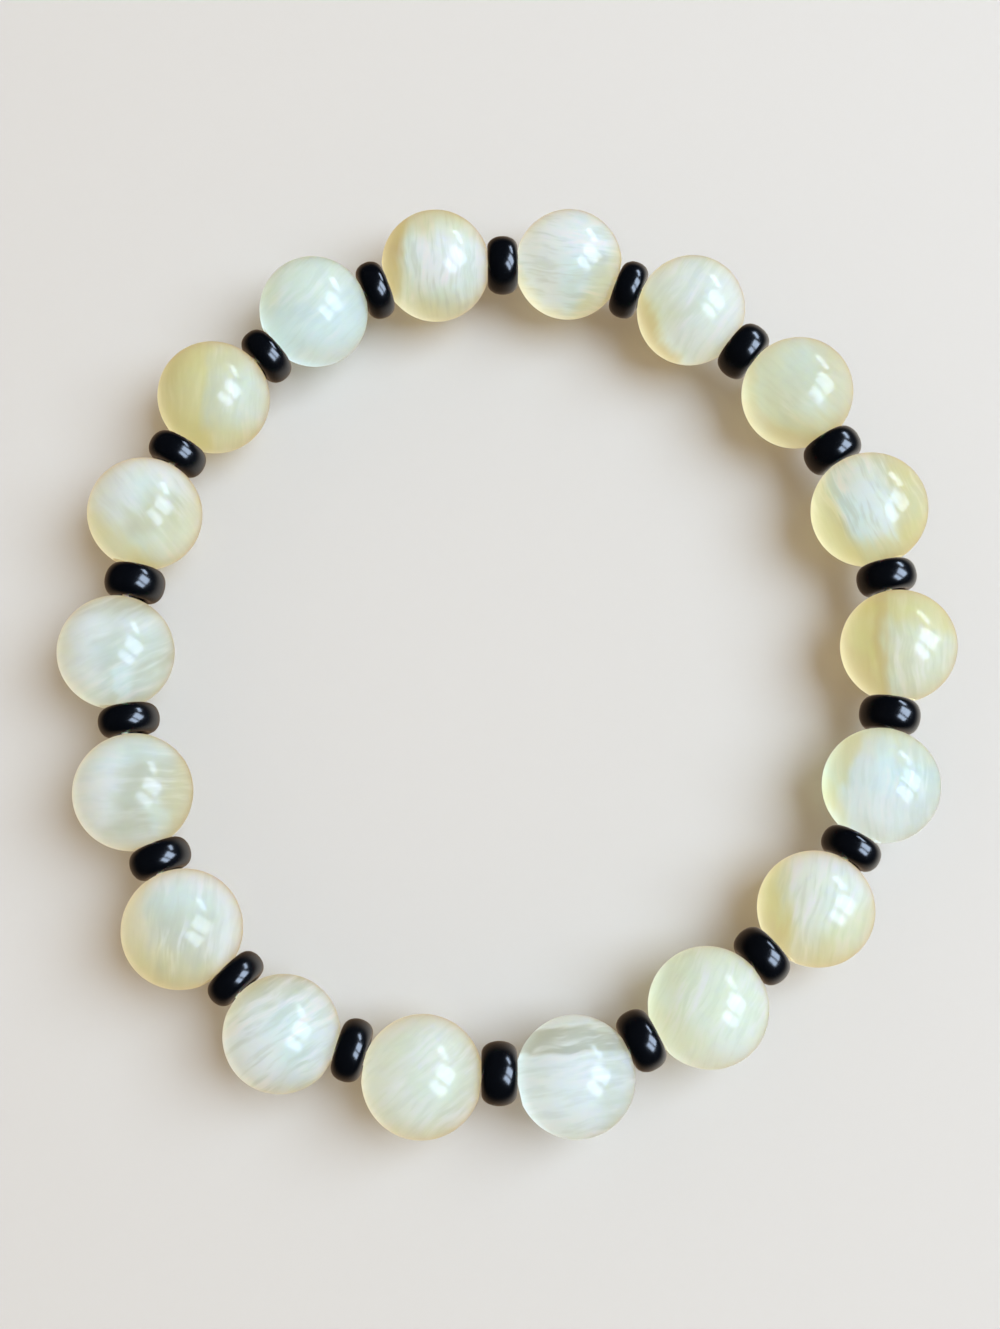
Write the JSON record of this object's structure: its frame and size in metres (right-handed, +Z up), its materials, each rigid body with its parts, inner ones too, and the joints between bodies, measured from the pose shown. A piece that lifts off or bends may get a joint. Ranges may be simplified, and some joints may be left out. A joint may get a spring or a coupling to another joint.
{
  "type": "beaded stretch bracelet",
  "caption": "Stretch bracelet lying flat: round silky pale yellow stone beads with a small round black glass bead between each two, on a loop of elastic cord.",
  "frame": {"origin": "middle of the bracelet's outline, on the surface that it lies on", "axes": "+Z up from that surface, through the loop; the loop is longest along Y and its hole faces +Z and -Z"},
  "size_m": [0.0632, 0.066, 0.0082],
  "materials": {
    "silky_stone": "polished translucent pale yellow stone with silky whitish fibre streaks",
    "black_glass": "opaque black pressed glass, fire-polished to a high gloss",
    "clear_elastic": "clear stretch cord, slightly milky, satin"
  },
  "bodies": {
    "root": {"stone_bead_01": "silky_stone", "spacer_bead_01": "black_glass", "stone_bead_02": "silky_stone", "spacer_bead_02": "black_glass", "stone_bead_03": "silky_stone", "spacer_bead_03": "black_glass", "stone_bead_04": "silky_stone", "spacer_bead_04": "black_glass", "stone_bead_05": "silky_stone", "spacer_bead_05": "black_glass", "stone_bead_06": "silky_stone", "spacer_bead_06": "black_glass", "stone_bead_07": "silky_stone", "spacer_bead_07": "black_glass", "stone_bead_08": "silky_stone", "spacer_bead_08": "black_glass", "stone_bead_09": "silky_stone", "spacer_bead_09": "black_glass", "stone_bead_10": "silky_stone", "spacer_bead_10": "black_glass", "stone_bead_11": "silky_stone", "spacer_bead_11": "black_glass", "stone_bead_12": "silky_stone", "spacer_bead_12": "black_glass", "stone_bead_13": "silky_stone", "spacer_bead_13": "black_glass", "stone_bead_14": "silky_stone", "spacer_bead_14": "black_glass", "stone_bead_15": "silky_stone", "spacer_bead_15": "black_glass", "stone_bead_16": "silky_stone", "spacer_bead_16": "black_glass", "stone_bead_17": "silky_stone", "spacer_bead_17": "black_glass", "stone_bead_18": "silky_stone", "spacer_bead_18": "black_glass", "elastic_cord": "clear_elastic"}
  },
  "joints": []
}
